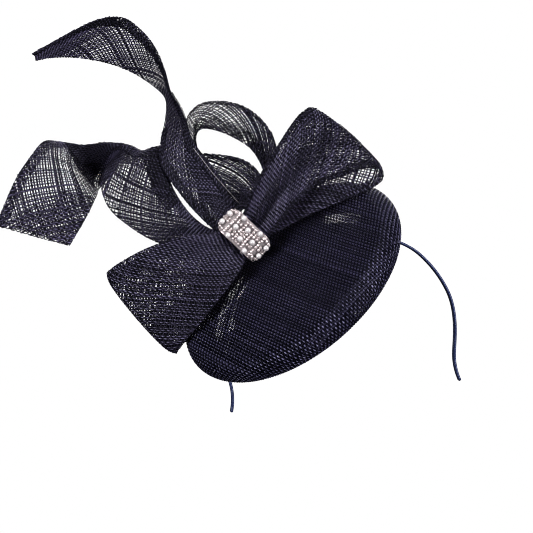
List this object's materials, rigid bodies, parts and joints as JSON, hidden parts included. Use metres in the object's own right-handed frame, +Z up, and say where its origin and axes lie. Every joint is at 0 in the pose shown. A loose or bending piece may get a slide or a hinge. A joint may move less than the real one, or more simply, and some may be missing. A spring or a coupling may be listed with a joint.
{
  "type": "fascinator headpiece",
  "caption": "Blocked sinamay disc on a thin satin headband, trimmed with a bow, two loops, two curled tails and a crystal and pearl band.",
  "frame": {"origin": "middle of the headband's inner face at the crown, where it rests on the head", "axes": "+Z up as worn, -Y towards the front, +X towards the viewer's right; the headband lies in the XZ plane"},
  "size_m": [0.303, 0.1634, 0.2778],
  "materials": {
    "sinamay": "stiff open weave, navy",
    "lining": "stiff close weave, near black",
    "band_satin": "satin, navy",
    "spring_steel": "plain spring steel",
    "brim_wire": "covered millinery wire",
    "crystal": "silver metallised mesh with faceted stones",
    "pearl": "pearl lustre",
    "nylon": "clear thread",
    "thread": "sewing thread, navy"
  },
  "bodies": {
    "crown": {"band_sleeve_crown": "band_satin", "band_core_crown": "spring_steel", "base_shell": "sinamay", "base_lining": "lining", "brim_wire": "brim_wire", "bow_loop_left": "sinamay", "bow_loop_right": "sinamay", "knot_wrap": "sinamay", "tail_upper": "sinamay", "tail_left": "sinamay", "loop_tall": "sinamay", "loop_low": "sinamay", "crystal_band": "crystal", "pearl_01": "pearl", "pearl_02": "pearl", "pearl_03": "pearl", "pearl_04": "pearl", "pearl_05": "pearl", "pearl_06": "pearl", "pearl_07": "pearl", "pearl_08": "pearl", "pearl_09": "pearl", "pearl_10": "pearl", "pearl_11": "pearl", "pearl_12": "pearl", "stay_thread": "nylon", "band_stitch_1": "thread", "band_stitch_2": "thread", "band_stitch_3": "thread", "band_stitch_4": "thread", "trim_stitch_1": "thread", "trim_stitch_2": "thread", "trim_stitch_3": "thread"},
    "left_arm": {"band_sleeve_left": "band_satin", "band_core_left": "spring_steel"},
    "right_arm": {"band_sleeve_right": "band_satin", "band_core_right": "spring_steel"}
  },
  "joints": [
    {"name": "left_flex", "type": "hinge", "parent": "crown", "child": "left_arm", "pos_m": [-0.0709, 0, -0.0415], "axis": [0, 1, 0], "range_deg": [-6, 12], "stiffness_Nm_per_rad": 0.5},
    {"name": "right_flex", "type": "hinge", "parent": "crown", "child": "right_arm", "pos_m": [0.0301, 0, -0.0047], "axis": [0, -1, 0], "range_deg": [-5, 12], "stiffness_Nm_per_rad": 0.5}
  ]
}
